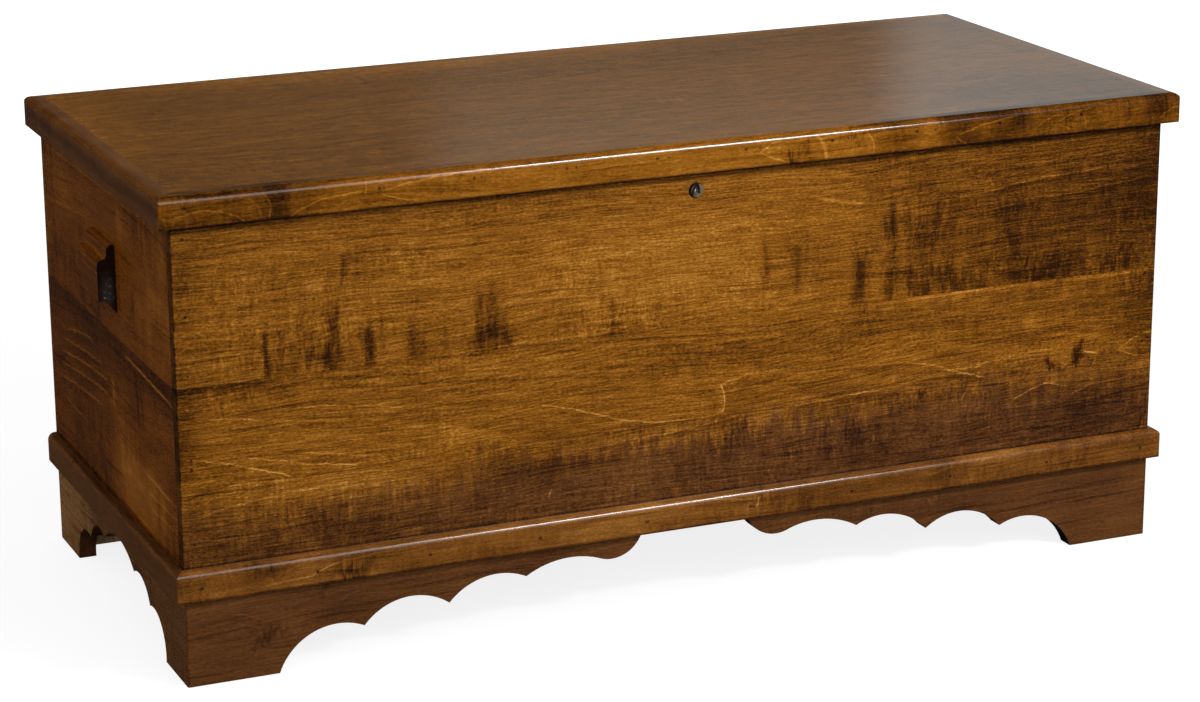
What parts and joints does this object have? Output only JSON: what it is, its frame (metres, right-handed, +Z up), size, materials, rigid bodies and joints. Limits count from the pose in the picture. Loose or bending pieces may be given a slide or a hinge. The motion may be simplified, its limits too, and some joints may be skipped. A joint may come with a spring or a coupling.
{
  "type": "blanket chest",
  "caption": "Long boarded wooden chest with a hinged framed lid, scalloped bracket skirt, base moulding, wooden side handles and a small cylinder lock.",
  "frame": {"origin": "on the floor, below the centre of the bounding box", "axes": "+X along the length, to the right of someone facing the front; +Y from the front to the hinged back; +Z up"},
  "size_m": [1.152, 0.5132, 0.5064],
  "materials": {
    "lid_wood": "golden brown stain under a satin varnish",
    "case_wood": "golden brown stain under a satin varnish",
    "moulding_wood": "golden brown stain under a satin varnish",
    "skirt_wood": "golden brown stain under a satin varnish",
    "handle_wood": "golden brown stain under a satin varnish",
    "inside_wood": "unstained, thin clear varnish",
    "lock_metal": "satin nickel",
    "hinge_metal": "satin steel",
    "fastener_steel": "dull steel",
    "sleeve_plastic": "moulded polymer",
    "felt": "pressed felt"
  },
  "bodies": {
    "case": {"front_panel": "case_wood", "left_side_panel": "case_wood", "right_side_panel": "case_wood", "back_panel": "case_wood", "bottom_panel": "inside_wood", "bottom_cleats": "inside_wood", "corner_blocks": "inside_wood", "skirt_front_left": "skirt_wood", "skirt_front_right": "skirt_wood", "skirt_left": "skirt_wood", "skirt_right": "skirt_wood", "skirt_back": "skirt_wood", "base_moulding_front": "moulding_wood", "base_moulding_left": "moulding_wood", "base_moulding_right": "moulding_wood", "handle_left": "handle_wood", "handle_right": "handle_wood", "base_moulding_brads": "fastener_steel", "front_panel_brads": "fastener_steel", "hinge_case_screws": "fastener_steel", "handle_screws": "fastener_steel", "hinge_case_leaves": "hinge_metal", "hinge_pins": "hinge_metal", "lock_rim": "lock_metal", "lock_nut": "lock_metal", "lid_bumpers": "felt"},
    "lid": {"lid_panel": "lid_wood", "lid_edge_front": "lid_wood", "lid_edge_back": "lid_wood", "lid_edge_left": "lid_wood", "lid_edge_right": "lid_wood", "lid_edge_brads": "fastener_steel", "hinge_lid_leaves": "hinge_metal", "hinge_lid_screws": "fastener_steel", "hinge_friction_sleeves": "sleeve_plastic", "lock_strike": "lock_metal", "lock_strike_screws": "fastener_steel"},
    "lock": {"lock_plug": "lock_metal", "lock_cam": "lock_metal", "lock_cam_screw": "fastener_steel"}
  },
  "joints": [
    {"name": "lid_hinge", "type": "hinge", "parent": "case", "child": "lid", "pos_m": [0, 0.25135, 0.46945], "axis": [-1, 0, 0], "range_deg": [0, 100]},
    {"name": "lock_turn", "type": "hinge", "parent": "case", "child": "lock", "pos_m": [0, -0.2328, 0.454], "axis": [0, -1, 0], "range_deg": [0, 90]}
  ]
}
